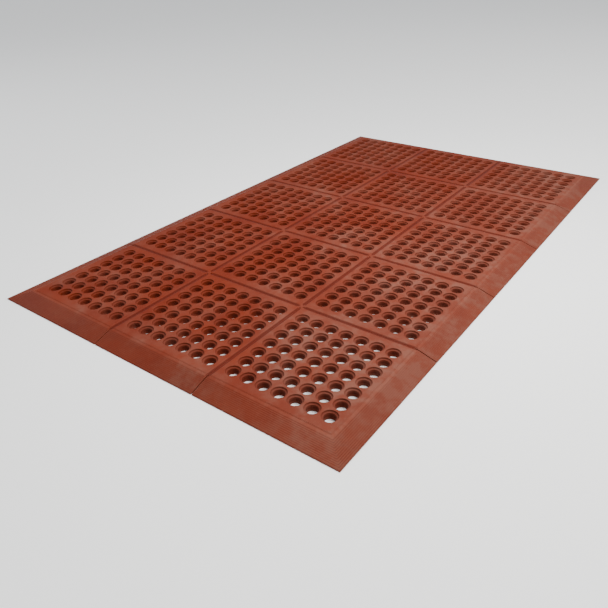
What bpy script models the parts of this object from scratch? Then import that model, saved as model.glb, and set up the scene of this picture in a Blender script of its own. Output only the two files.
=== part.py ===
"""Modular rubber drainage mat.

Fifteen pierced rubber tiles lie in three columns and five rows. The outer
tiles carry a ramp down to the floor. Each seam between two tiles is closed by
a flexible strip whose two beads sit in channels in the tile edges, and each
place where four tiles meet is filled by a small diamond plug.

Metres, +Z up. X runs across the mat, Y along it, and z = 0 is the floor.
"""
import math

import bmesh
import bpy
from mathutils import Matrix

MM = 0.001

# overall layout
COLUMNS = ("left", "middle", "right")
ROWS = 5
TILE_X = 272.0 * MM          # seam to seam, across the mat
TILE_Y = 287.0 * MM          # seam to seam, along the mat
THICK = 15.9 * MM            # five eighths of an inch
RAMP_WIDTH = 44.0 * MM       # crest to outer edge, in plan
RAMP_LIP = 2.0 * MM          # height of the outer edge
CREST_X = TILE_X * len(COLUMNS) / 2
CREST_Y = TILE_Y * ROWS / 2

# drain holes
HOLES = 7                    # along each side of a tile
HOLE_PITCH = 35.6 * MM
HOLE_R = 11.5 * MM           # radius of the round hole
HOLE_SIDES = 6
# corner radius of the hexagon with the same area as the round hole
HOLE_CORNER_R = HOLE_R * math.sqrt(
    2 * math.pi / (HOLE_SIDES * math.sin(2 * math.pi / HOLE_SIDES))
)

# seams
GAP = 1.2 * MM               # from the seam's centre to each tile's wall
GROOVE = 2.6 * MM            # half width of the V groove at the top
STRIP_Z = 12.7 * MM          # height of the strip's middle, and of the fold
WEB_HALF = 0.7 * MM          # half the strip's thin web
BEAD_IN = 2.9 * MM           # bead, from the seam's centre
BEAD_OUT = 6.1 * MM
BEAD_HALF = 1.6 * MM         # half the bead's height
PLAY = 0.3 * MM              # clearance of the strip in its channel
STRIP_END = 8.0 * MM         # strip stops short of a crossing by this
CREST_END = 6.0 * MM         # strip and channel stop short of the crest

# plugs where four tiles meet
PLUG_TOP_R = 5.2 * MM        # centre to corner
PLUG_BASE_R = 6.2 * MM
PLUG_FLOOR = 9.8 * MM        # height of the plug's underside
PLUG_PLAY = 0.4 * MM

OVER = 10.0 * MM             # how far a cutter runs past what it cuts


def clear_scene():
    for obj in list(bpy.data.objects):
        bpy.data.objects.remove(obj, do_unlink=True)


def make_material(name, colour, roughness):
    material = bpy.data.materials.new(name)
    material.use_nodes = True
    shader = material.node_tree.nodes["Principled BSDF"]
    shader.inputs["Base Color"].default_value = (*colour, 1.0)
    shader.inputs["Roughness"].default_value = roughness
    shader.inputs["Metallic"].default_value = 0.0
    return material


def add_object(name, bm, material=None):
    mesh = bpy.data.meshes.new(name)
    bmesh.ops.recalc_face_normals(bm, faces=bm.faces)
    bm.to_mesh(mesh)
    bm.free()
    obj = bpy.data.objects.new(name, mesh)
    bpy.context.scene.collection.objects.link(obj)
    if material:
        mesh.materials.append(material)
    else:
        obj.hide_render = True
        obj.display_type = "WIRE"
    return obj


def box(name, low, high, material=None, turn=None):
    """A box between two corners, optionally moved by a matrix."""
    bm = bmesh.new()
    size = [b - a for a, b in zip(low, high)]
    middle = [(a + b) / 2 for a, b in zip(low, high)]
    place = Matrix.Translation(middle) @ Matrix.Diagonal((*size, 1.0))
    bmesh.ops.create_cube(bm, size=1.0, matrix=(turn or Matrix()) @ place)
    return add_object(name, bm, material)


def cone(name, sides, base_r, top_r, low_z, high_z, x, y, material=None, spin=0.0):
    bm = bmesh.new()
    place = Matrix.Translation((x, y, (low_z + high_z) / 2))
    bmesh.ops.create_cone(
        bm, cap_ends=True, segments=sides, radius1=base_r, radius2=top_r,
        depth=high_z - low_z, matrix=place @ Matrix.Rotation(spin, 4, "Z"),
    )
    return add_object(name, bm, material)


def boolean(obj, other, operation="DIFFERENCE"):
    modifier = obj.modifiers.new(other.name[:40], "BOOLEAN")
    modifier.solver = "EXACT"
    modifier.operation = operation
    modifier.object = other


def repeat(obj, count, offset):
    modifier = obj.modifiers.new("repeat", "ARRAY")
    modifier.count = count
    modifier.use_relative_offset = False
    modifier.use_constant_offset = True
    modifier.constant_offset_displace = offset


def ramp_cutter(name, quarter, crest, half_length):
    """A tilted block whose underside is the ramp of one side of the mat."""
    slope = math.atan2(THICK - RAMP_LIP, RAMP_WIDTH)
    turn = (
        Matrix.Rotation(math.radians(90 * quarter), 4, "Z")
        @ Matrix.Translation((0, -crest, THICK))
        @ Matrix.Rotation(slope, 4, "X")
    )
    reach = 2 * RAMP_WIDTH
    return box(name, (-half_length, -reach, 0), (half_length, RAMP_WIDTH, 4 * THICK), turn=turn)


def groove_cutter(name, along, at):
    """A square bar on edge, level with the top, that cuts a seam's V groove."""
    side = GROOVE * math.sqrt(2) / 2
    reach = CREST_X + CREST_Y
    turn = Matrix.Translation((at, 0, THICK)) @ Matrix.Rotation(math.radians(45), 4, "Y")
    if along == "X":
        turn = Matrix.Rotation(math.radians(90), 4, "Z") @ turn
    return box(name, (-side, -reach, -side), (side, reach, side), turn=turn)


def dog_bone(name, along, at, low, high, play, material=None):
    """A thin web with a square bead on each side, along one seam.

    A positive play makes the channel cutter for the same strip.
    """
    parts = []
    spans = (
        (-(BEAD_IN + play + 0.4 * MM), BEAD_IN + play + 0.4 * MM, WEB_HALF + play),
        (-(BEAD_OUT + play), -(BEAD_IN - play), BEAD_HALF + play),
        (BEAD_IN - play, BEAD_OUT + play, BEAD_HALF + play),
    )
    for index, (a, b, half) in enumerate(spans):
        near, far = (low, at + a), (high, at + b)
        if along == "Y":
            near, far = near[::-1], far[::-1]
        parts.append(
            box(
                name if index == 0 else f"cut_{name}_bead{index}",
                (*near, STRIP_Z - half), (*far, STRIP_Z + half),
                material if index == 0 else None,
            )
        )
    for bead in parts[1:]:
        boolean(parts[0], bead, "UNION")
    return parts[0]


clear_scene()
tile_rubber = make_material("tile_rubber", (0.40, 0.085, 0.045), 0.62)
strip_rubber = make_material("strip_rubber", (0.30, 0.050, 0.028), 0.60)
plug_rubber = make_material("plug_rubber", (0.42, 0.095, 0.050), 0.62)

# seam positions, from the middle of the mat
seams_x = [TILE_X * (k - (len(COLUMNS) - 2) / 2) for k in range(len(COLUMNS) - 1)]
seams_y = [TILE_Y * (k - (ROWS - 2) / 2) for k in range(ROWS - 1)]

# shared cutters: four ramps, and a groove and a channel for each seam line
ramp_front = ramp_cutter("cut_ramp_front", 0, CREST_Y, CREST_X + 2 * RAMP_WIDTH)
ramp_right = ramp_cutter("cut_ramp_right", 1, CREST_X, CREST_Y + 2 * RAMP_WIDTH)
ramp_back = ramp_cutter("cut_ramp_back", 2, CREST_Y, CREST_X + 2 * RAMP_WIDTH)
ramp_left = ramp_cutter("cut_ramp_left", 3, CREST_X, CREST_Y + 2 * RAMP_WIDTH)

column_cuts = []
for k, x in enumerate(seams_x):
    channel_end = CREST_Y - CREST_END + PLAY
    column_cuts.append((
        groove_cutter(f"cut_groove_column{k + 1}", "Y", x),
        dog_bone(f"cut_channel_column{k + 1}", "Y", x, -channel_end, channel_end, PLAY),
    ))
row_cuts = []
for k, y in enumerate(seams_y):
    channel_end = CREST_X - CREST_END + PLAY
    row_cuts.append((
        groove_cutter(f"cut_groove_row{k + 1}", "X", y),
        dog_bone(f"cut_channel_row{k + 1}", "X", y, -channel_end, channel_end, PLAY),
    ))

# plugs and their pockets; a plug widens towards its base, so it stays in
slant = (PLUG_TOP_R - PLUG_BASE_R) / (THICK - PLUG_FLOOR)
pockets = {}
for i, x in enumerate(seams_x):
    for j, y in enumerate(seams_y):
        cone(
            f"plug_{COLUMNS[i]}_{COLUMNS[i + 1]}_r{j + 1}_r{j + 2}", 4,
            PLUG_BASE_R, PLUG_TOP_R, PLUG_FLOOR, THICK, x, y, plug_rubber,
        )
        base = PLUG_BASE_R + PLUG_PLAY * math.sqrt(2) - slant * PLUG_PLAY
        top = PLUG_TOP_R + PLUG_PLAY * math.sqrt(2) + slant * OVER
        pockets[i, j] = cone(
            f"cut_pocket_{i + 1}_{j + 1}", 4, base, max(top, 1 * MM),
            PLUG_FLOOR - PLUG_PLAY, THICK + OVER, x, y,
        )

# tiles
reach_x, reach_y = CREST_X + RAMP_WIDTH, CREST_Y + RAMP_WIDTH
for j in range(ROWS):
    low_y = -reach_y if j == 0 else seams_y[j - 1] + GAP
    high_y = reach_y if j == ROWS - 1 else seams_y[j] - GAP
    middle_y = TILE_Y * (j - (ROWS - 1) / 2)
    for i, column in enumerate(COLUMNS):
        low_x = -reach_x if i == 0 else seams_x[i - 1] + GAP
        high_x = reach_x if i == len(COLUMNS) - 1 else seams_x[i] - GAP
        middle_x = TILE_X * (i - (len(COLUMNS) - 1) / 2)

        tile = box(f"tile_r{j + 1}_{column}", (low_x, low_y, 0), (high_x, high_y, THICK), tile_rubber)

        first = -HOLE_PITCH * (HOLES - 1) / 2
        holes = cone(
            f"cut_holes_r{j + 1}_{column}", HOLE_SIDES, HOLE_CORNER_R, HOLE_CORNER_R,
            -OVER, THICK + OVER, middle_x + first, middle_y + first,
        )
        repeat(holes, HOLES, (HOLE_PITCH, 0, 0))
        repeat(holes, HOLES, (0, HOLE_PITCH, 0))
        boolean(tile, holes)

        if j == 0:
            boolean(tile, ramp_front)
        if i == len(COLUMNS) - 1:
            boolean(tile, ramp_right)
        if j == ROWS - 1:
            boolean(tile, ramp_back)
        if i == 0:
            boolean(tile, ramp_left)
        for k in (i - 1, i):
            if 0 <= k < len(seams_x):
                for cutter in column_cuts[k]:
                    boolean(tile, cutter)
        for k in (j - 1, j):
            if 0 <= k < len(seams_y):
                for cutter in row_cuts[k]:
                    boolean(tile, cutter)
        for a in (i - 1, i):
            for b in (j - 1, j):
                if (a, b) in pockets:
                    boolean(tile, pockets[a, b])

# strips along the column seams, one in each row
for i, x in enumerate(seams_x):
    for j in range(ROWS):
        low = -(CREST_Y - CREST_END) if j == 0 else seams_y[j - 1] + STRIP_END
        high = CREST_Y - CREST_END if j == ROWS - 1 else seams_y[j] - STRIP_END
        dog_bone(f"join_strip_{COLUMNS[i]}_{COLUMNS[i + 1]}_r{j + 1}", "Y", x, low, high, 0.0, strip_rubber)

# strips along the row seams, one in each column; the mat folds along these
for j, y in enumerate(seams_y):
    for i, column in enumerate(COLUMNS):
        low = -(CREST_X - CREST_END) if i == 0 else seams_x[i - 1] + STRIP_END
        high = CREST_X - CREST_END if i == len(COLUMNS) - 1 else seams_x[i] - STRIP_END
        dog_bone(f"fold_strip_r{j + 1}_r{j + 2}_{column}", "X", y, low, high, 0.0, strip_rubber)
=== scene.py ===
# %% [markdown]
# # A rubber drainage mat
# This lesson dresses a mat of fifteen pierced rubber tiles. The solids that hold the mat's size and its folding
# rows come ready made as a frame. We build the surface that the eye sees around them: round stepped holes, soft
# edges, ribbed ramps, and rubber that looks handled. We start by loading the frame, because every place and size
# below is read from it.

# %% Load the frame
import math

import bmesh
import bpy
import numpy as np
from mathutils import Matrix, Vector, geometry


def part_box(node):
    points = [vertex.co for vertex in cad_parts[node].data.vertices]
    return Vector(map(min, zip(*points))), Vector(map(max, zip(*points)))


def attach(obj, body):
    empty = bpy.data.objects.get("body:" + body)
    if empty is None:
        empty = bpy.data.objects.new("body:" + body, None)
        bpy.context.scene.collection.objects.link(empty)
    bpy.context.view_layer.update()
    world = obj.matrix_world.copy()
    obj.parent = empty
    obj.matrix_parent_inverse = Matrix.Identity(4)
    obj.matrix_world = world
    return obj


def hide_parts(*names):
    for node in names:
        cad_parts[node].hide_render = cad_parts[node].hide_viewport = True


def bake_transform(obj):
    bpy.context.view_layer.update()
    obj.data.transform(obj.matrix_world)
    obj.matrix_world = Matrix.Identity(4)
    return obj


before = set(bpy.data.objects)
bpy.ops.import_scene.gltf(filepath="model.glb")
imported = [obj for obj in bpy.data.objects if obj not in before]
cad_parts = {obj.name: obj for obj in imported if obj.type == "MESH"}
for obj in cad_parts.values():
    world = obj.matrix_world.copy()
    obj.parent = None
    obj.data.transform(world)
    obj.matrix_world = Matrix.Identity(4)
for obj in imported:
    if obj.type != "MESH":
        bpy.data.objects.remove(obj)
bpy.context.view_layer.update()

# %% [markdown]
# ## The plan of the mat
# The mat has three columns of tiles across it and five rows along it. A tile ends either at a seam, where the next
# tile starts, or at a crest, where the ramp to the floor starts. We find the seams half way between neighbouring
# tiles, so nothing here has to be typed in twice. From here on, lengths inside a tile are in millimetres, which
# are easier to read, and one constant turns them into metres.

# %% Read the plan from the frame
MM = 0.001
COLUMNS = ("left", "middle", "right")
ROWS = (1, 2, 3, 4, 5)


def node_box(name):
    """A node's lowest and highest corners in millimetres."""
    low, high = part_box(name)
    return np.array(low) / MM, np.array(high) / MM


tile_boxes = {(r, c): node_box(f"tile_r{r}_{c}") for r in ROWS for c in COLUMNS}
seams_x = [
    (tile_boxes[3, a][1][0] + tile_boxes[3, b][0][0]) / 2
    for a, b in zip(COLUMNS, COLUMNS[1:])
]
seams_y = [
    (tile_boxes[a, "middle"][1][1] + tile_boxes[b, "middle"][0][1]) / 2
    for a, b in zip(ROWS, ROWS[1:])
]
TILE_X = seams_x[1] - seams_x[0]
TILE_Y = seams_y[1] - seams_y[0]
THICK = tile_boxes[3, "middle"][1][2]
GAP = (tile_boxes[3, "middle"][0][0] - tile_boxes[3, "left"][1][0]) / 2
RAMP = tile_boxes[3, "right"][1][0] - seams_x[1] - TILE_X
STRIP_Z = sum(node_box("join_strip_left_middle_r3")[k][2] for k in (0, 1)) / 2
print(f"tile {TILE_X:.1f} x {TILE_Y:.1f} mm, {THICK:.1f} thick, half gap {GAP:.2f}, ramp {RAMP:.1f}")

# %% [markdown]
# ## A builder that shares corners
# Every tile is one closed skin made of many small patches: flat faces, hole walls, ramp steps. If each patch made
# its own corners, the skin would have cracks, and light would shade each patch alone. The class below gives back
# the same corner whenever two patches ask for the same place. Each corner also carries two numbers for the
# material to use later. The first says how much it is rubbed, or, when it is below zero, how much painted shade it
# gets, which stands for the shade in a groove or hollow. The second says how deep in a hole it sits.

# %% The skin builder
WELD = 500                  # corners closer than a 500th of a millimetre are one corner
CLOSE = 0.01                # millimetres that don't matter
INSIDE_ONLY = 1             # the kind of Delaunay triangulation that keeps to the inside of the outlines
SHARP_DEGREES = 38.0


class Skin:
    """Collects faces whose corners are shared by place."""

    def __init__(self):
        self.index, self.points, self.marks, self.faces = {}, [], [], []

    def corner(self, x, y, z, rub=0.0, deep=0.0):
        key = tuple(round(v * WELD) for v in (x, y, z))
        if key not in self.index:
            self.index[key] = len(self.points)
            self.points.append((x, y, z))
            self.marks.append((rub, deep))
        return self.index[key]

    def face(self, corners):
        loop = [self.corner(*c) for c in corners]
        loop = [c for n, c in enumerate(loop) if c != loop[n - 1]]
        if len(set(loop)) == len(loop) and len(loop) > 2:
            self.faces.append(loop)

    def to_object(self, name, offset=(0.0, 0.0, 0.0)):
        """Makes the Blender object, moved by offset, and says so if its skin isn't closed."""
        mesh = bpy.data.meshes.new(name)
        points = (np.array(self.points) + np.array(offset)) * MM
        mesh.from_pydata(points.tolist(), [], self.faces)
        shape = bmesh.new()
        shape.from_mesh(mesh)
        bmesh.ops.recalc_face_normals(shape, faces=shape.faces)
        shape.to_mesh(mesh)
        open_edges = sum(1 for edge in shape.edges if len(edge.link_faces) != 2)
        shape.free()
        # the first mark: rubbed paleness above zero, painted shade in a recess below zero
        for title, values in zip(("rub_and_shade", "hole_depth"), np.array(self.marks, np.float32).T):
            mark = mesh.attributes.new(title, "FLOAT", "POINT")
            mark.data.foreach_set("value", np.ascontiguousarray(values))
        mesh.shade_smooth()
        mesh.set_sharp_from_angle(angle=math.radians(SHARP_DEGREES))
        obj = bpy.data.objects.new(name, mesh)
        bpy.context.scene.collection.objects.link(obj)
        weigh = obj.modifiers.new("flat faces stay flat", "WEIGHTED_NORMAL")
        weigh.keep_sharp = True
        if open_edges:
            print(f"{name}: {open_edges} open edges")
        return obj


def fill_flat(outline, holes, keep):
    """Triangles that fill an outline around its holes; keep tells which middles are solid."""
    loops = [outline, *holes]
    flat = [Vector(p) for loop in loops for p in loop]
    edges, start = [], 0
    for loop in loops:
        edges += [(start + n, start + (n + 1) % len(loop)) for n in range(len(loop))]
        start += len(loop)
    points, _, triangles, *_ = geometry.delaunay_2d_cdt(flat, edges, [], INSIDE_ONLY, 1e-5)
    points = np.array([tuple(p) for p in points])
    triangles = np.array([tuple(t) for t in triangles])
    middles = points[triangles].mean(axis=1)
    return points, triangles[keep(middles)]


print("skins weld corners closer than", 1 / WELD, "mm and show edges sharper than", SHARP_DEGREES, "degrees")

# %% [markdown]
# ## One drain hole
# Each hole is a shallow round step with a through hole in its floor, so that a heel doesn't catch on a sharp rim
# and water is led in. On the real mat this is moulded, with every edge slightly rounded. We turn a half section
# round the hole's axis, ring by ring, like a potter. Thirty-two sides are enough to look round at arm's length. The
# floor of the step is marked for painted shade, which stands for the shade that falls into it.

# %% The hole's section, from the top face down
HOLES = 7
PITCH = 35.6
SIDES = 32
MOUTH_R = 16.0
BORE_R = 11.5
hole_section = (            # radius, height, rubbed (above zero) or painted shade (below)
    (MOUTH_R, THICK, 0.35),
    (15.74, THICK - 0.11, 1.0),
    (15.52, THICK - 0.40, 0.8),
    (15.36, THICK - 0.90, -0.2),
    (15.10, THICK - 2.60, -0.6),
    (14.60, THICK - 3.00, -0.6),
    (12.70, THICK - 3.40, -0.4),
    (12.10, THICK - 3.58, 0.5),
    (11.72, THICK - 4.00, 0.5),
    (BORE_R, THICK - 4.70, 0.0),
    (BORE_R - 0.60, THICK - 9.50, 0.0),
    (BORE_R - 1.30, 0.0, 0.0),
)
turns = [2 * math.pi * n / SIDES for n in range(SIDES)]
circle = [(math.cos(t), math.sin(t)) for t in turns]
centres = [
    (PITCH * (i - (HOLES - 1) / 2), PITCH * (j - (HOLES - 1) / 2))
    for i in range(HOLES) for j in range(HOLES)
]


def turn_hole(skin, x, y):
    """Adds the wall of the hole whose middle is at x, y."""
    rings = [
        [(x + r * c, y + r * s, z, rub, 1 - z / THICK) for c, s in circle]
        for r, z, rub in hole_section
    ]
    for upper, lower in zip(rings, rings[1:]):
        for n in range(SIDES):
            skin.face((upper[n - 1], upper[n], lower[n], lower[n - 1]))


def outside_holes(radius):
    """A test for points on solid ground: further than radius from every hole's middle."""
    def test(points):
        cell = np.clip(np.round(points / PITCH), -(HOLES // 2), HOLES // 2) * PITCH
        return np.hypot(*(points - cell).T) > radius * math.cos(math.pi / SIDES) - CLOSE
    return test


print(len(centres), "holes in a tile,", len(hole_section), "rings in each")

# %% [markdown]
# ## The edges of a tile
# At a seam the tile's top rolls down into a shallow groove and drops as a wall, with a keyhole channel in it that
# grips the strip. At a ramp the top has two fine lines moulded along the crest, and then falls to a thin lip in a
# dozen low ribs, which give grip and hide scuffs. Both are written as short profiles: a list of offsets across the
# edge. A profile that is swept along a straight side needs only one face per step, so the ribs are real and cheap.

# %% The seam profile and the ramp profile
seam_roll = (               # outward offset from the seam, drop below the surface, rubbed (above zero) or painted shade (below)
    (-6.0, 0.0, 0.1), (-5.6, 0.10, 0.7), (-5.1, 0.45, 0.1), (-4.6, 0.85, -0.8), (-2.8, 1.0, -0.95),
    (-GAP, 1.35, -0.95),
)
groove_end = ((7.2, 0.0), (8.4, 0.5), (9.8, 1.0))     # distance from a crossing, share of the depth
RIBS = 12
RIB_HEIGHT = 0.62
RIB_START = 2.4             # from the crest to the first rib
LIP_TOP, LIP_ROUND = 2.0, 0.7
rib_shape = (               # share of a rib's pitch, share of its height cut away, rubbed (above zero) or painted shade (below)
    (0.0, 0.0, 0.9), (0.54, 0.0, 0.9), (0.70, 1.0, -0.6), (0.88, 1.0, -0.6),
)


def ramp_line(offset):
    """The ramp's height without its ribs."""
    return THICK - (THICK - LIP_TOP) * offset / RAMP


ramp_rows = [               # outward offset from the crest, height, rubbed (above zero) or painted shade (below)
    (-4.6, THICK, 0.1), (-4.1, THICK - 0.08, 0.7), (-3.8, THICK - 0.48, 0.0), (-3.2, THICK - 0.48, 0.0),
    (-2.9, THICK - 0.06, 0.8), (-2.2, THICK - 0.04, 0.8), (-1.9, THICK - 0.48, 0.0),
    (-1.3, THICK - 0.48, 0.0), (-1.0, THICK - 0.10, 0.8), (0.0, THICK - 0.07, 0.9), (0.9, THICK - 0.26, 0.6),
]
rib_pitch = (RAMP - LIP_ROUND - RIB_START) / RIBS
for rib in range(RIBS):
    near = RIB_START + rib * rib_pitch
    for share, depth, rub in rib_shape:
        offset = near + share * rib_pitch
        ramp_rows.append((offset, ramp_line(offset) - depth * RIB_HEIGHT, rub))
ramp_rows += [
    (RAMP - LIP_ROUND, ramp_line(RAMP - LIP_ROUND), 0.6), (RAMP - 0.2, LIP_TOP - 0.3, 0.9),
    (RAMP, LIP_TOP - 0.8, 0.5), (RAMP, 0.0, 0.0),
]
CREST_START = ramp_rows[0][0]
print(len(ramp_rows), "steps from the crest to the floor")

# %% [markdown]
# ## The channel and the corner
# The channel in each seam wall runs blind: it stops short of the crest and short of each crossing. Where four
# tiles meet, a small corner of each is cut away down to a ledge, and a plug fills the diamond that they leave. These
# shapes are partly hidden, but they show when the mat folds, and they give the strips and plugs real room to sit in.
#
# The seam's groove closes just before a crossing and shallows out past the crest, so on the ramps the tiles meet
# almost flush. Its inner edge stays low all along, because it would hit the next tile when the mat folds.

# %% Channel and corner sizes
CHANNEL = (                 # inward offset from the seam, height
    (GAP, STRIP_Z + 1.0), (2.6, STRIP_Z + 1.0), (2.6, STRIP_Z + 1.9), (6.4, STRIP_Z + 1.9),
    (6.4, STRIP_Z - 1.9), (2.6, STRIP_Z - 1.9), (2.6, STRIP_Z - 1.0), (GAP, STRIP_Z - 1.0),
)
CHANNEL_FROM_CROSSING, CHANNEL_FROM_CREST = 7.7, 5.7
CORNER_CUT = 5.9            # from a crossing to the cut, along the seam's middle
CUT_DEPTH = 6.5
LEDGE_Z = THICK - CUT_DEPTH
ROLL_FADE = 2.2             # how far below the crest the roll has shallowed out
RAMP_ROLL = 0.12            # the share of the roll that is left on a ramp
LIP_FADE = 5.0              # what is left of the roll goes to nothing from here down to the floor
RAMP_EDGE, RAMP_SEAM_HIGHLIGHT = -3.0, 0.9        # on a ramp, the strip beside the seam gets a painted highlight, for the lit edge of the slit
RIB_WEAR = 0.35             # the ribs' marks are fainter beside a seam than at a mitre


def roll_height(offset, drop, share):
    """The roll's height where the groove has a share of its depth; the inner edge stays low, so rows can fold."""
    return THICK - (drop if offset == -GAP else drop * share)


def faded(drop, height):
    """The seam's roll shallows out just past the crest, and ends before the underside."""
    past_crest = 1.0 - (THICK - height) / ROLL_FADE
    return drop * min(1.0, max(RAMP_ROLL, past_crest), height / LIP_FADE)


class Side:
    """One side of a tile: places on it are along the side, outward from its line, and up."""

    def __init__(self, number, half_x, half_y, kinds):
        self.kind = kinds[number]
        self.before, self.after = kinds[number - 1], kinds[(number + 1) % 4]
        quarter = (number - 1) * math.pi / 2
        self.out = (round(math.cos(quarter)), round(math.sin(quarter)))
        self.along = (-self.out[1], self.out[0])
        self.reach, self.half = (half_x, half_y) if number % 2 else (half_y, half_x)

    def at(self, along, outward, z, rub=0.0):
        """A corner for the skin, in the tile's own x, y and z."""
        outward += self.reach
        x = self.along[0] * along + self.out[0] * outward
        y = self.along[1] * along + self.out[1] * outward
        return (x, y, z, rub)

    def ends(self, inward):
        """Where a line of the seam's profile starts and stops."""
        cut = -max(CORNER_CUT - inward, inward)
        first = cut if self.before == "seam" else CREST_START
        last = cut if self.after == "seam" else CREST_START
        return -self.half - first, self.half + last

    def stations(self, inward):
        """Places along the groove, each with the share of its depth; it closes before a crossing."""
        first, last = self.ends(inward)
        start, finish = [(first, 1.0)], [(last, 1.0)]
        if self.before == "seam":
            start = [(first, 0.0)] + [(d - self.half, share) for d, share in groove_end]
        if self.after == "seam":
            finish = [(self.half - d, share) for d, share in groove_end[::-1]] + [(last, 0.0)]
        return start + finish

    def top_edge(self):
        """The part of the top's outline that belongs to this side."""
        if self.kind == "seam":
            offset = seam_roll[0][0]
            return [self.at(a, offset, 0)[:2] for a, _ in self.stations(-offset)]
        ends = [CREST_START if kind == "ramp" else seam_roll[0][0] for kind in (self.before, self.after)]
        return [
            self.at(-self.half - ends[0], CREST_START, 0)[:2],
            self.at(self.half + ends[1], CREST_START, 0)[:2],
        ]

    def row(self, offset, height, rub):
        """A step of the ramp, from one end of the side to the other."""
        share = faded(1.0, height)

        def end(kind, way):
            if kind == "ramp":
                return [(way * (self.half + offset), height, rub)]
            # beside a seam on the ramp, the pale strip is a painted highlight for the lit edge of the slit
            return [
                (way * (self.half + (o if height > 0 else -GAP)), height - d * share,
                 mark * share + (rub * RIB_WEAR if o < RAMP_EDGE else RAMP_SEAM_HIGHLIGHT) * (1 - share))
                for o, d, mark in seam_roll
            ]
        start = end(self.before, -1)[::-1]
        return [self.at(a, offset, z, mark) for a, z, mark in start + end(self.after, 1)]


print(f"channel around {STRIP_Z:.1f} mm, plug ledge at {LEDGE_Z:.1f} mm")

# %% [markdown]
# ## The whole tile
# Now the parts come together. The top and the underside are flat sheets with holes, filled with a Delaunay
# triangulation, which copes with any outline. The seam walls are filled the same way, in their own plane. The rest
# is sweeping. Modelling one tile and cutting it with booleans would also work, but sweeping keeps every face clean
# and takes a fraction of a second.

# %% Build a tile
def seam_side(skin, side):
    """The rolled edge along a seam, the wall under it and the strip's channel."""
    lines = [
        [side.at(a, o, roll_height(o, d, share), r * share) for a, share in side.stations(-o)]
        for o, d, r in seam_roll
    ]
    for upper, lower in zip(lines, lines[1:]):
        for n in range(len(upper) - 1):
            skin.face((upper[n], upper[n + 1], lower[n + 1], lower[n]))
    depth = seam_roll[-1][1]
    stations = [(a, THICK - depth) for a, _ in side.stations(GAP)]

    def wall_end(kind, way, edge):
        if kind == "seam":
            corner = way * (side.half - GAP)
            return [(edge, LEDGE_Z), (corner, LEDGE_Z), (corner, 0.0)]
        return [(way * (side.half + o), z - faded(depth, z)) for o, z, _ in ramp_rows[1:]]

    outline = (
        stations[::-1] + wall_end(side.before, -1, stations[0][0])
        + wall_end(side.after, 1, stations[-1][0])[::-1]
    )
    short = {"seam": CHANNEL_FROM_CROSSING, "ramp": CHANNEL_FROM_CREST}
    m0 = -side.half + short[side.before]
    m1 = side.half - short[side.after]
    low, high = CHANNEL[-1][1], CHANNEL[0][1]
    mouth = [(m0, low), (m1, low), (m1, high), (m0, high)]

    def solid(p):
        inside_mouth = (p[:, 0] > m0) & (p[:, 0] < m1) & (p[:, 1] > low) & (p[:, 1] < high)
        return ~inside_mouth & in_polygon(p, outline)

    points, triangles = fill_flat(outline, [mouth], solid)
    for t in triangles:
        skin.face([side.at(points[n][0], -GAP, points[n][1]) for n in t])
    for (d1, z1), (d2, z2) in zip(CHANNEL, CHANNEL[1:]):
        skin.face((side.at(m0, -d1, z1), side.at(m1, -d1, z1), side.at(m1, -d2, z2), side.at(m0, -d2, z2)))
    for m in (m0, m1):
        skin.face([side.at(m, -d, z) for d, z in CHANNEL])


def in_polygon(points, outline):
    """Which points lie inside an outline, by counting the edges to their right."""
    inside = np.zeros(len(points), bool)
    for (x1, y1), (x2, y2) in zip(outline, outline[1:] + outline[:1]):
        if y1 != y2:
            crosses = (y1 > points[:, 1]) != (y2 > points[:, 1])
            where = x1 + (points[:, 1] - y1) * (x2 - x1) / (y2 - y1)
            inside ^= crosses & (points[:, 0] < where)
    return inside


def ramp_side(skin, side):
    """The ramp along an outer edge, from its crest to the floor."""
    rows = [side.row(*step) for step in ramp_rows]
    for upper, lower in zip(rows, rows[1:]):
        for n in range(len(upper) - 1):
            skin.face((upper[n], upper[n + 1], lower[n + 1], lower[n]))


def crossing_corner(skin, side, following):
    """The cut corner where this side and the next both end at seams."""
    steps = [(-o, roll_height(o, d, 0.0), 0.0) for o, d, _ in seam_roll] + [(GAP, LEDGE_Z, 0.0)]
    pairs = [
        (side.at(side.ends(i)[1], -i, z, r), following.at(following.ends(i)[0], -i, z, r))
        for i, z, r in steps
    ]
    for (a1, b1), (a2, b2) in zip(pairs, pairs[1:]):
        skin.face((a1, b1, b2, a2))
    a, b = pairs[-1]
    skin.face((a, b, side.at(side.half - GAP, -GAP, LEDGE_Z)))


def build_tile(name, kinds, middle):
    """One tile; kinds says seam or ramp for its front, right, back and left."""
    skin = Skin()
    half_x, half_y = TILE_X / 2, TILE_Y / 2
    sides = [Side(n, half_x, half_y, kinds) for n in range(4)]
    x1, y1, x0, y0 = (
        way * half + way * (-GAP if kinds[n] == "seam" else RAMP)
        for way, half, n in ((1, half_x, 1), (1, half_y, 2), (-1, half_x, 3), (-1, half_y, 0))
    )
    underside = [(x0, y0), (x1, y0), (x1, y1), (x0, y1)]
    top = [point for side in sides for point in side.top_edge()]
    top = [point for n, point in enumerate(top) if math.dist(point, top[n - 1]) > CLOSE]
    for outline, ring, height in ((top, hole_section[0], THICK), (underside, hole_section[-1], 0.0)):
        rings = [[(x + ring[0] * c, y + ring[0] * s) for c, s in circle] for x, y in centres]
        points, triangles = fill_flat(outline, rings, outside_holes(ring[0]))
        for t in triangles:
            skin.face([(*points[n], height, 0.0) for n in t])
    for x, y in centres:
        turn_hole(skin, x, y)
    for side, following in zip(sides, sides[1:] + sides[:1]):
        if side.kind == "seam":
            seam_side(skin, side)
            if following.kind == "seam":
                crossing_corner(skin, side, following)
        else:
            ramp_side(skin, side)
    return skin.to_object(name, (*middle, 0.0))


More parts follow.
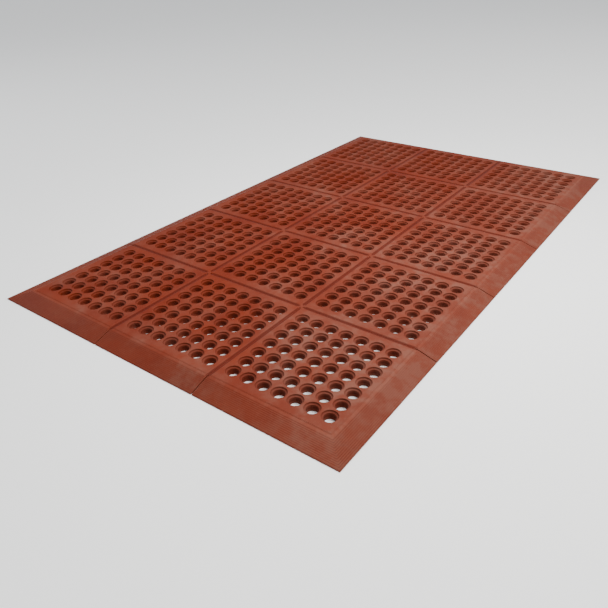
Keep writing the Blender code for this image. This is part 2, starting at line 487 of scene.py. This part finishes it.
tiles = {}
for r in ROWS:
    for n, column in enumerate(COLUMNS):
        kinds = [
            "ramp" if r == ROWS[0] else "seam", "ramp" if column == "right" else "seam",
            "ramp" if r == ROWS[-1] else "seam", "ramp" if column == "left" else "seam",
        ]
        middle = ((n - 1) * TILE_X, (r - 3) * TILE_Y)
        tiles[r, column] = build_tile(f"pierced_tile_r{r}_{column}", kinds, middle)
print("tiles built:", len(tiles), "with", sum(len(t.data.polygons) for t in tiles.values()), "faces")

# %% [markdown]
# ## Strips in the seams
# A strip is a thin web with a bead on each side, like a dog's bone seen from its end. A low ridge along the web fills
# the slit between two tiles, and it is the red floor that you see in every seam. A real strip would be extruded, so
# we sweep one rounded section along each seam. At each end the bead stops and the web goes on as a short tongue. The
# strips across the mat have to bend when it folds, so the ridge and web are cut into narrow faces.

# %% Build the strips
strip_half = [              # from the middle of the strip outwards: offset, height above its middle
    (0.0, 1.65), (0.4, 1.65), (0.7, 1.55), (0.9, 1.25), (1.0, 0.66), (2.4, 0.68), (2.85, 0.9), (3.0, 1.3),
    (3.35, 1.58), (4.5, 1.6), (5.65, 1.58), (6.0, 1.3), (6.1, 0.9), (6.1, 0.0),
]
lower_half = [(d, -min(h, 0.6) if d < 2 else -h) for d, h in strip_half[-2::-1]]
half_outline = strip_half + lower_half
strip_section = half_outline + [(-d, h) for d, h in half_outline[-2:0:-1]]
tongue_section = [          # the same corners drawn in to the web: the tongue that reaches towards a plug
    (d, h) if abs(d) <= 1.0 else (math.copysign(1.0, d), min(0.66, max(-0.6, h))) for d, h in strip_section
]
TONGUE = 2.1                # how far the tongue goes on past the bead


def build_strip(name, along_x, seam, low, high):
    """A strip from low to high along a seam that runs along x or along y."""
    skin = Skin()

    def place(along, section_point):
        across, up = section_point
        across += seam
        return (along, across, STRIP_Z + up) if along_x else (across, along, STRIP_Z + up)

    loops = [
        [place(along, point) for point in section]
        for along, section in (
            (low - TONGUE, tongue_section), (low, tongue_section), (low, strip_section),
            (high, strip_section), (high, tongue_section), (high + TONGUE, tongue_section),
        )
    ]
    for here, there in zip(loops, loops[1:]):
        for n in range(len(here)):
            skin.face((here[n - 1], here[n], there[n], there[n - 1]))
    skin.face(loops[0])
    skin.face(loops[-1])
    return skin.to_object(name)


strips = {}
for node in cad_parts:
    if "strip" in node:
        along_x = node.startswith("fold")
        low, high = node_box(node)
        run = 0 if along_x else 1
        seam = (low[1 - run] + high[1 - run]) / 2
        strips[node] = build_strip("rubber_" + node, along_x, seam, low[run], high[run])
print("strips built:", len(strips))

# %% [markdown]
# ## Plugs at the crossings
# Where four tiles meet, a small diamond plug closes the gap, flush with the top. Its corners point along the seams,
# so each groove ends against it. We stack a few diamonds with rounded corners, from the base up to the rolled edge.

# %% Build the plugs
PLUG_LAYERS = (             # centre to corner, height, rubbed
    (5.3, LEDGE_Z + 0.5, 0.0), (5.6, LEDGE_Z + 0.8, 0.0), (5.5, THICK - 0.9, 0.0), (5.3, THICK - 0.35, 0.7),
    (4.9, THICK - 0.05, 0.9), (4.4, THICK, 0.2), (2.2, THICK, 0.0),
)
PLUG_SIDES = 32
SQUARENESS = 1.18           # 1 is a sharp diamond, 2 is a circle


def diamond(radius):
    """Points round a diamond whose corners are softened."""
    for n in range(PLUG_SIDES):
        t = 2 * math.pi * n / PLUG_SIDES
        c, s = math.cos(t), math.sin(t)
        reach = radius / (abs(c) ** SQUARENESS + abs(s) ** SQUARENESS) ** (1 / SQUARENESS)
        yield reach * c, reach * s


def build_plug(name, x, y):
    """A plug whose middle is at x, y."""
    skin = Skin()
    layers = [[(x + dx, y + dy, z, rub) for dx, dy in diamond(r)] for r, z, rub in PLUG_LAYERS]
    for lower, upper in zip(layers, layers[1:]):
        for n in range(PLUG_SIDES):
            skin.face((lower[n - 1], lower[n], upper[n], upper[n - 1]))
    skin.face(layers[0])
    skin.face(layers[-1])
    return skin.to_object(name)


plugs = {}
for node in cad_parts:
    if node.startswith("plug"):
        low, high = node_box(node)
        middle = (low + high) / 2
        plugs[node] = build_plug("diamond_" + node, middle[0], middle[1])
print("plugs built:", len(plugs))

# %% [markdown]
# ## Who moves with whom
# Each row of tiles is one rigid body, and the rows fold against each other along their seams. A tile and the strips
# inside a row ride on that row. The strips and plugs on a folding seam are attached to no row here and stay where
# they were built.

# %% Hang the pieces on the frame
def seam_rows(name):
    """The two row numbers in a name such as fold_strip_r2_r3_left."""
    return [int(word[1:]) for word in name.split("_") if word[0] == "r" and word[1:].isdigit()]


for (r, column), tile in tiles.items():
    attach(tile, f"row_{r}")
    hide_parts(f"tile_r{r}_{column}")
for node, piece in {**strips, **plugs}.items():
    rows = seam_rows(node)
    if len(rows) == 1:
        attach(piece, f"row_{rows[0]}")
    else:
        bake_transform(piece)
    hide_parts(node)
print("pieces on the frame:", len(tiles) + len(strips) + len(plugs))

# %% [markdown]
# ## What the rubber looks like
# Moulded rubber of this kind is a matt terra-cotta red. Three things keep it from looking like paint: a fine grain
# from the mould, a cloudy bloom where dust and wax come to the surface, and paler lines where edges are rubbed.
# Each of these is a node group of its own, so the tiles, strips and plugs can share them with different settings.
# We start with a few helpers, because the groups are all made from the same handful of nodes.

# %% Helpers for node groups
def new_group(name, inputs, outputs):
    """A shader group with named sockets; returns the group, its input node and its output node."""
    group = bpy.data.node_groups.new(name, "ShaderNodeTree")
    for label, kind, value in inputs:
        socket = group.interface.new_socket(name=label, in_out="INPUT", socket_type=kind)
        socket.default_value = value
    for label, kind in outputs:
        group.interface.new_socket(name=label, in_out="OUTPUT", socket_type=kind)
    return group, group.nodes.new("NodeGroupInput"), group.nodes.new("NodeGroupOutput")


def noise(tree, coordinates, scale, detail, roughness=0.5):
    """Noise whose scale is roughly the number of patches in a metre."""
    node = tree.nodes.new("ShaderNodeTexNoise")
    node.inputs["Scale"].default_value = scale
    node.inputs["Detail"].default_value = detail
    node.inputs["Roughness"].default_value = roughness
    tree.links.new(coordinates, node.inputs["Vector"])
    return node.outputs["Fac"]


def spread(tree, value, low, high, to_low=0.0, to_high=1.0):
    """Stretches the part of a value between low and high over a new range."""
    node = tree.nodes.new("ShaderNodeMapRange")
    for label, number in (("From Min", low), ("From Max", high), ("To Min", to_low), ("To Max", to_high)):
        node.inputs[label].default_value = number
    tree.links.new(value, node.inputs["Value"])
    return node.outputs["Result"]


def combine(tree, operation, one, two):
    """A Math node; either side may be a socket or a number."""
    node = tree.nodes.new("ShaderNodeMath")
    node.operation = operation
    for socket, value in zip(node.inputs, (one, two)):
        if isinstance(value, (int, float)):
            socket.default_value = value
        else:
            tree.links.new(value, socket)
    return node.outputs["Value"]


def blend_colours(tree, share, one, two):
    """The first colour where the share is 0 and the second where it is 1."""
    node = tree.nodes.new("ShaderNodeMix")
    node.data_type = "RGBA"
    tree.links.new(share, node.inputs["Factor"])
    tree.links.new(one, node.inputs["A"])
    tree.links.new(two, node.inputs["B"])
    return node.outputs["Result"]


def object_place(tree):
    """Where a point is on the piece, in metres."""
    return tree.nodes.new("ShaderNodeTexCoord").outputs["Object"]


def axis_of(tree, coordinates, axis):
    """One of the three numbers of a place."""
    node = tree.nodes.new("ShaderNodeSeparateXYZ")
    tree.links.new(coordinates, node.inputs["Vector"])
    return node.outputs[axis]


FLOAT, COLOUR = "NodeSocketFloat", "NodeSocketColor"
print("node helpers are ready")

# %% [markdown]
# ### Mould grain
# The mould's blasted surface prints a grain of about a millimetre on the rubber, with slower waves where the sheet
# cooled unevenly. It is far too small to model, so it becomes height for a Bump node.

# %% The grain group
FINE_GRAIN, SLOW_WAVES = 900.0, 55.0        # patches in a metre
grain_group, ins, outs = new_group(
    "mould grain", [("Fine Scale", FLOAT, FINE_GRAIN), ("Waves", FLOAT, 0.5)], [("Height", FLOAT)]
)
place = object_place(grain_group)
fine = noise(grain_group, place, FINE_GRAIN, 3.0, 0.6)
grain_group.links.new(ins.outputs["Fine Scale"], fine.node.inputs["Scale"])
slow = noise(grain_group, place, SLOW_WAVES, 2.0)
wave = combine(grain_group, "MULTIPLY", slow, ins.outputs["Waves"])
grain_group.links.new(combine(grain_group, "ADD", fine, wave), outs.inputs["Height"])
print("made", grain_group.name)

# %% [markdown]
# ### Bloom, dust and a painted sheen
# Bloom is the cloudy paleness that rubber gets with age. It comes in patches as wide as a hand, broken up by
# smaller ones and by specks. Towards the right-hand side the bloom grows, as a painted sheen where the light glances
# off that side of the mat. It makes the surface a little duller as well as paler, so the group gives out its mask
# too.

# %% The bloom group
HAND_WIDE, FINGER_WIDE, SPECKS, SHADES = 5.0, 38.0, 420.0, 11.0     # patches in a metre
SHEEN_FROM, SHEEN_TO = 0.02, 0.47         # metres across the mat, from no painted sheen to the most
# this group paints the bloom, and a painted sheen towards the right-hand side
bloom_and_sheen_group, ins, outs = new_group(
    "bloom and painted sheen",
    [("Rubber", COLOUR, (0.3, 0.05, 0.03, 1)), ("Deep", COLOUR, (0.2, 0.03, 0.02, 1)),
     ("Bloom", COLOUR, (0.5, 0.2, 0.15, 1)), ("Amount", FLOAT, 0.5)],
    [("Color", COLOUR), ("Mask", FLOAT)],
)
place = object_place(bloom_and_sheen_group)
broad = spread(bloom_and_sheen_group, noise(bloom_and_sheen_group, place, HAND_WIDE, 4.0, 0.62), 0.40, 0.66)
small = spread(bloom_and_sheen_group, noise(bloom_and_sheen_group, place, FINGER_WIDE, 4.0, 0.6), 0.42, 0.68)
specks = spread(bloom_and_sheen_group, noise(bloom_and_sheen_group, place, SPECKS, 2.0, 0.6), 0.56, 0.75)
cloud = combine(bloom_and_sheen_group, "MULTIPLY", broad, combine(bloom_and_sheen_group, "ADD", 0.55, small))
cloud = combine(bloom_and_sheen_group, "ADD", cloud, combine(bloom_and_sheen_group, "MULTIPLY", specks, 0.35))
# painted sheen: the bloom grows towards the right-hand side, where the light glances off the mat
right_sheen = spread(bloom_and_sheen_group, axis_of(bloom_and_sheen_group, place, "X"), SHEEN_FROM, SHEEN_TO, 0.0, 0.95)
right_sheen = combine(bloom_and_sheen_group, "MULTIPLY", right_sheen, combine(bloom_and_sheen_group, "ADD", 0.6, small))
cloud = combine(bloom_and_sheen_group, "ADD", cloud, right_sheen)
mask = combine(bloom_and_sheen_group, "MULTIPLY", cloud, ins.outputs["Amount"])
shade = spread(bloom_and_sheen_group, noise(bloom_and_sheen_group, place, SHADES, 3.0, 0.55), 0.35, 0.62)
under = blend_colours(bloom_and_sheen_group, shade, ins.outputs["Deep"], ins.outputs["Rubber"])
clouded = blend_colours(bloom_and_sheen_group, mask, under, ins.outputs["Bloom"])
bloom_and_sheen_group.links.new(clouded, outs.inputs["Color"])
bloom_and_sheen_group.links.new(mask, outs.inputs["Mask"])
print("made", bloom_and_sheen_group.name)

# %% [markdown]
# ### Rubbed edges and painted shade
# Feet and brushes rub the high edges: hole mouths, seams and ribs turn paler there. Beside the seams on the ramps the
# pale line is a painted highlight, for the lit edge of the slit. Down in the holes and grooves the colour is painted
# darker with depth, as painted shade, and the ramps get a little painted shade towards the floor. The rubbing and
# the depth come from the two numbers that each corner was given when the tile was built. The rubbing is broken up
# with a little noise, so that no line is perfectly even.

# %% The wear group
UNEVEN = 160.0              # patches in a metre
DARK_FROM, DARK_TO = 0.03, 0.60             # share of a hole's depth, from no painted shade to the darkest
# heights in metres over which the ramps' painted shade grows from none to full
RAMP_SHADE_FROM, RAMP_SHADE_TO = THICK * MM, 0.80 * THICK * MM
# this group paints rubbed edges paler and paints shade into holes, grooves and the lower ramps
wear_and_shade_group, ins, outs = new_group(
    "rubbed edges and painted shade",
    [("Color", COLOUR, (0.3, 0.05, 0.03, 1)), ("Rubbed", COLOUR, (0.5, 0.2, 0.15, 1)),
     ("Painted Shade", COLOUR, (0.03, 0.01, 0.008, 1)), ("Rub", FLOAT, 0.4), ("Darken", FLOAT, 0.8),
     ("Ramp Shade", FLOAT, 0.3)],
    [("Color", COLOUR), ("Rubbed Mask", FLOAT)],
)
place = object_place(wear_and_shade_group)
marks = {}
for title in ("rub_and_shade", "hole_depth"):
    marks[title] = wear_and_shade_group.nodes.new("ShaderNodeAttribute")
    marks[title].attribute_name = title
uneven = spread(wear_and_shade_group, noise(wear_and_shade_group, place, UNEVEN, 3.0, 0.6), 0.3, 0.7, 0.35, 1.0)
worn = combine(wear_and_shade_group, "MAXIMUM", marks["rub_and_shade"].outputs["Fac"], 0.0)
rubbed = combine(wear_and_shade_group, "MULTIPLY", worn, uneven)
rubbed = combine(wear_and_shade_group, "MULTIPLY", rubbed, ins.outputs["Rub"])
# painted shade: darker with depth in the holes, and in the grooves and hollows marked below zero
deep = spread(wear_and_shade_group, marks["hole_depth"].outputs["Fac"], DARK_FROM, DARK_TO)
recess_shade = combine(wear_and_shade_group, "MULTIPLY", marks["rub_and_shade"].outputs["Fac"], -1.0)
deep = combine(wear_and_shade_group, "MAXIMUM", deep, recess_shade)
deep = combine(wear_and_shade_group, "MULTIPLY", deep, ins.outputs["Darken"])
# painted shade on the ramps, darker towards the floor
low = spread(wear_and_shade_group, axis_of(wear_and_shade_group, place, "Z"), RAMP_SHADE_FROM, RAMP_SHADE_TO)
low = combine(wear_and_shade_group, "MULTIPLY", low, ins.outputs["Ramp Shade"])
deep = combine(wear_and_shade_group, "MAXIMUM", deep, low)
paler = blend_colours(wear_and_shade_group, rubbed, ins.outputs["Color"], ins.outputs["Rubbed"])
darker = blend_colours(wear_and_shade_group, deep, paler, ins.outputs["Painted Shade"])
wear_and_shade_group.links.new(darker, outs.inputs["Color"])
wear_and_shade_group.links.new(rubbed, outs.inputs["Rubbed Mask"])
print("made", wear_and_shade_group.name)

# %% [markdown]
# ### Dull and polished places
# Bloom makes rubber duller and rubbing polishes it, so both masks change the roughness. All three rubbers need this,
# so it is a group too.

# %% The dullness group
FULL_BLOOM = 0.6            # the bloom mask at which rubber is dullest
CLEANER, DUSTIER, POLISH = -0.08, 0.10, -0.12
dull_group, ins, outs = new_group(
    "dull and polished",
    [("Dullness", FLOAT, 0.6), ("Bloom and Sheen Mask", FLOAT, 0.0), ("Rubbed Mask", FLOAT, 0.0)], [("Roughness", FLOAT)],
)
dull_by_mask = spread(dull_group, ins.outputs["Bloom and Sheen Mask"], 0.0, FULL_BLOOM, CLEANER, DUSTIER)
dull_by_mask = combine(dull_group, "ADD", dull_by_mask, ins.outputs["Dullness"])
polish = combine(dull_group, "MULTIPLY", ins.outputs["Rubbed Mask"], POLISH)
dull_group.links.new(combine(dull_group, "ADD", dull_by_mask, polish), outs.inputs["Roughness"])
print("made", dull_group.name)

# %% [markdown]
# ### The three rubbers
# The tiles are moulded and well handled. The strips are extruded, smoother, and a deeper red, which partly paints the
# shade of the groove they lie in. The plugs are moulded like the tiles but newer. All are Principled BSDF materials;
# only the numbers given to the groups differ. Matt rubber reflects very little at a low angle, so the specular level
# is low.

# %% Mix the rubbers
BUMP_STRENGTH, SPECULAR_LEVEL = 0.55, 0.09
RAMP_SHADE_SHARE = 0.30      # how much of the painted shade the ramps get


def rubber(name, colours, bloom, rub, darken, grain_scale, grain_depth, dull):
    """A rubber; grain_depth is in millimetres and dull is its middle roughness."""
    material = bpy.data.materials.new(name)
    material.use_nodes = True
    tree = material.node_tree
    shader = tree.nodes["Principled BSDF"]
    made = {}
    groups = {"bloom": bloom_and_sheen_group, "wear_and_shade": wear_and_shade_group, "grain": grain_group, "dull": dull_group}
    for label, group in groups.items():
        made[label] = tree.nodes.new("ShaderNodeGroup")
        made[label].node_tree = group
    for label in ("Rubber", "Deep", "Bloom"):
        made["bloom"].inputs[label].default_value = (*colours[label], 1)
    made["bloom"].inputs["Amount"].default_value = bloom
    for label in ("Rubbed", "Painted Shade"):
        made["wear_and_shade"].inputs[label].default_value = (*colours[label], 1)
    made["wear_and_shade"].inputs["Rub"].default_value = rub
    made["wear_and_shade"].inputs["Darken"].default_value = darken
    made["wear_and_shade"].inputs["Ramp Shade"].default_value = RAMP_SHADE_SHARE * darken
    made["grain"].inputs["Fine Scale"].default_value = grain_scale
    made["dull"].inputs["Dullness"].default_value = dull
    bump = tree.nodes.new("ShaderNodeBump")
    bump.inputs["Strength"].default_value = BUMP_STRENGTH
    bump.inputs["Distance"].default_value = grain_depth * MM
    tree.links.new(made["grain"].outputs["Height"], bump.inputs["Height"])
    tree.links.new(bump.outputs["Normal"], shader.inputs["Normal"])
    tree.links.new(made["bloom"].outputs["Color"], made["wear_and_shade"].inputs["Color"])
    tree.links.new(made["wear_and_shade"].outputs["Color"], shader.inputs["Base Color"])
    tree.links.new(made["bloom"].outputs["Mask"], made["dull"].inputs["Bloom and Sheen Mask"])
    tree.links.new(made["wear_and_shade"].outputs["Rubbed Mask"], made["dull"].inputs["Rubbed Mask"])
    tree.links.new(made["dull"].outputs["Roughness"], shader.inputs["Roughness"])
    shader.inputs["Specular IOR Level"].default_value = SPECULAR_LEVEL
    return material


rubber_colours = {
    "Rubber": (0.145, 0.0178, 0.0047), "Deep": (0.119, 0.0122, 0.0029), "Bloom": (0.160, 0.055, 0.0365),
    # the last colour is painted shade for the holes, grooves and lower ramps
    "Rubbed": (0.208, 0.055, 0.0300), "Painted Shade": (0.060, 0.0052, 0.0012),
}
# the strips' deeper red is partly their own colour and partly painted shade for the groove they lie in
strip_colours = {**rubber_colours, "Rubber": (0.120, 0.0100, 0.0020), "Deep": (0.095, 0.0072, 0.0014)}
tile_rubber = rubber(
    "moulded tile rubber", rubber_colours,
    bloom=0.60, rub=0.50, darken=0.75, grain_scale=900.0, grain_depth=0.16, dull=0.66,
)
strip_rubber = rubber(
    "extruded strip rubber", strip_colours,
    bloom=0.12, rub=0.0, darken=0.0, grain_scale=1400.0, grain_depth=0.05, dull=0.52,
)
plug_rubber = rubber(
    "plug rubber", rubber_colours,
    bloom=0.40, rub=0.40, darken=0.0, grain_scale=1000.0, grain_depth=0.12, dull=0.58,
)
for pieces, material in ((tiles, tile_rubber), (strips, strip_rubber), (plugs, plug_rubber)):
    for piece in pieces.values():
        piece.data.materials.append(material)
print("rubbers mixed: 3")

# %% [markdown]
# ## Floor, light and camera
# The mat lies on a plain pale floor in a soft studio. One broad light stands to the right, so that side glows a
# little and the near ramps fall into gentle shade; a weaker one fills from the left. A soft lamp hangs low over the
# mat, a little to the right of its middle, so its ends are dimmer than its middle. The sky is a pale even grey that
# fills the holes with light from above.

# %% Set the stage
FLOOR = 30.0                # half the floor's width, in metres
FLOOR_Z = -0.2 * MM         # just below the mat, so the two never share a plane
FLOOR_COLOUR, SKY_COLOUR, SKY_STRENGTH = (0.94, 0.94, 0.93, 1), (0.95, 0.97, 1.0, 1), 0.86


def glow(name, place, target, size, watts, colour):
    """A round soft light at a place, turned to a target."""
    light = bpy.data.lights.new(name, "AREA")
    light.shape, light.size, light.energy, light.color = "DISK", size, watts, colour
    lamp = bpy.data.objects.new(name, light)
    bpy.context.scene.collection.objects.link(lamp)
    lamp.location = place
    lamp.visible_camera = False
    lamp.rotation_euler = (Vector(target) - Vector(place)).to_track_quat("-Z", "Y").to_euler()
    return lamp


floor_mesh = bpy.data.meshes.new("studio_floor")
floor_mesh.from_pydata(
    [(-FLOOR, -FLOOR, 0), (FLOOR, -FLOOR, 0), (FLOOR, FLOOR, 0), (-FLOOR, FLOOR, 0)], [], [(0, 1, 2, 3)]
)
floor = bpy.data.objects.new("studio_floor", floor_mesh)
bpy.context.scene.collection.objects.link(floor)
paint = bpy.data.materials.new("pale floor")
paint.use_nodes = True
paint.node_tree.nodes["Principled BSDF"].inputs["Base Color"].default_value = FLOOR_COLOUR
paint.node_tree.nodes["Principled BSDF"].inputs["Roughness"].default_value = 0.85
floor_mesh.materials.append(paint)
floor.location.z = FLOOR_Z

sky = bpy.data.worlds.new("pale studio")
sky.use_nodes = True
sky.node_tree.nodes["Background"].inputs["Color"].default_value = SKY_COLOUR
sky.node_tree.nodes["Background"].inputs["Strength"].default_value = SKY_STRENGTH
bpy.context.scene.world = sky
glow("broad key", (3.3, 1.1, 3.1), (0.0, -0.1, 0.0), 2.8, 210.0, (1.0, 0.98, 0.95))
glow("overhead", (0.35, -0.10, 1.15), (0.3, -0.1, 0.0), 0.9, 17.0, (1.0, 0.99, 0.97))
glow("left fill", (-2.6, -1.2, 2.2), (0.0, 0.0, 0.0), 2.4, 30.0, (0.96, 0.98, 1.0))
print("lights:", [light.name for light in bpy.data.lights])

# %% [markdown]
# The camera stands past the front right corner, about 70 cm above the floor, and looks down along the mat. Its
# three turns are those of a tripod: a small roll about the lens, a tilt up from straight down, and a swing round
# the post.

# %% Place the camera
CAMERA_PLACE = (0.8005, -1.3034, 0.6918)
TILT, SWING, ROLL = 58.58, 36.99, -1.46     # degrees
LENS, SENSOR = 35.73, 36.0                  # millimetres
eye = bpy.data.cameras.new("camera")
eye.lens, eye.sensor_width = LENS, SENSOR
camera = bpy.data.objects.new("camera", eye)
bpy.context.scene.collection.objects.link(camera)
camera.matrix_world = (
    Matrix.Translation(CAMERA_PLACE)
    @ Matrix.Rotation(math.radians(SWING), 4, "Z")
    @ Matrix.Rotation(math.radians(TILT), 4, "X")
    @ Matrix.Rotation(math.radians(ROLL), 4, "Z")
)
bpy.context.scene.camera = camera
print("camera at", [round(v, 3) for v in camera.location])
